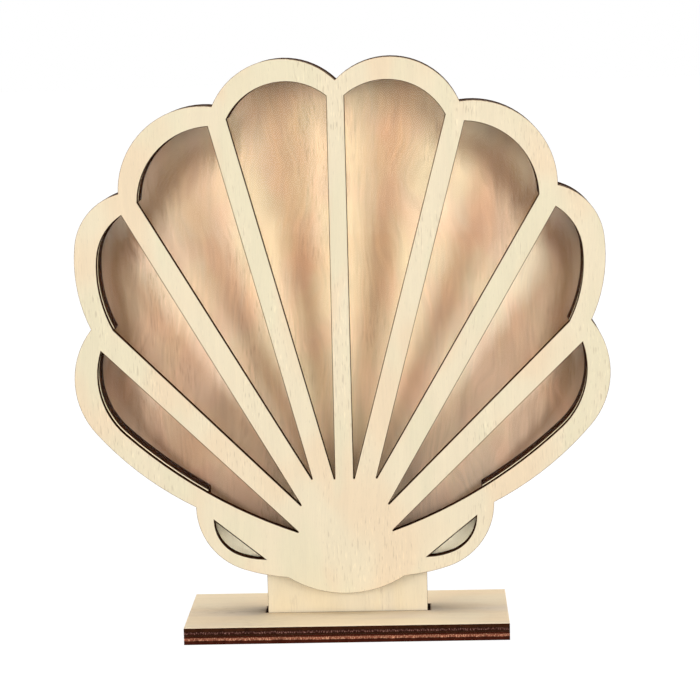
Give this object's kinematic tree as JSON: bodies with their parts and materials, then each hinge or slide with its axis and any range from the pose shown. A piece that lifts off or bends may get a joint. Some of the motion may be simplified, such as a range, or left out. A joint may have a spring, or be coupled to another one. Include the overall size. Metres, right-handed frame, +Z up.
{
  "type": "seashell display case",
  "caption": "Flat fan-shaped display case of layered plywood with a clear pane behind its ribbed windows, standing by its neck in a slotted base.",
  "frame": {"origin": "under the middle of the base, on the surface it stands on", "axes": "+Z up, the windows face -Y, +X to the right seen from the front"},
  "size_m": [0.1852, 0.05, 0.2],
  "materials": {
    "plywood": "bare birch plywood, laser-cut edges",
    "clear_pane": "clear acrylic",
    "magnets": "nickel plated"
  },
  "bodies": {
    "stand": {"base_bottom_sheet": "plywood", "base_top_sheet": "plywood"},
    "case": {"front_panel": "plywood", "clear_pane": "clear_pane", "spacer_front": "plywood", "spacer_middle": "plywood", "spacer_rear": "plywood", "case_magnets": "magnets"},
    "back": {"back_panel": "plywood", "back_magnets": "magnets"}
  },
  "joints": [
    {"name": "lift_out", "type": "slide", "parent": "stand", "child": "case", "axis": [0, 0, 1], "range_m": [0, 0.02]},
    {"name": "back_pull", "type": "slide", "parent": "case", "child": "back", "axis": [0, 1, 0], "range_m": [0, 0.03]}
  ]
}
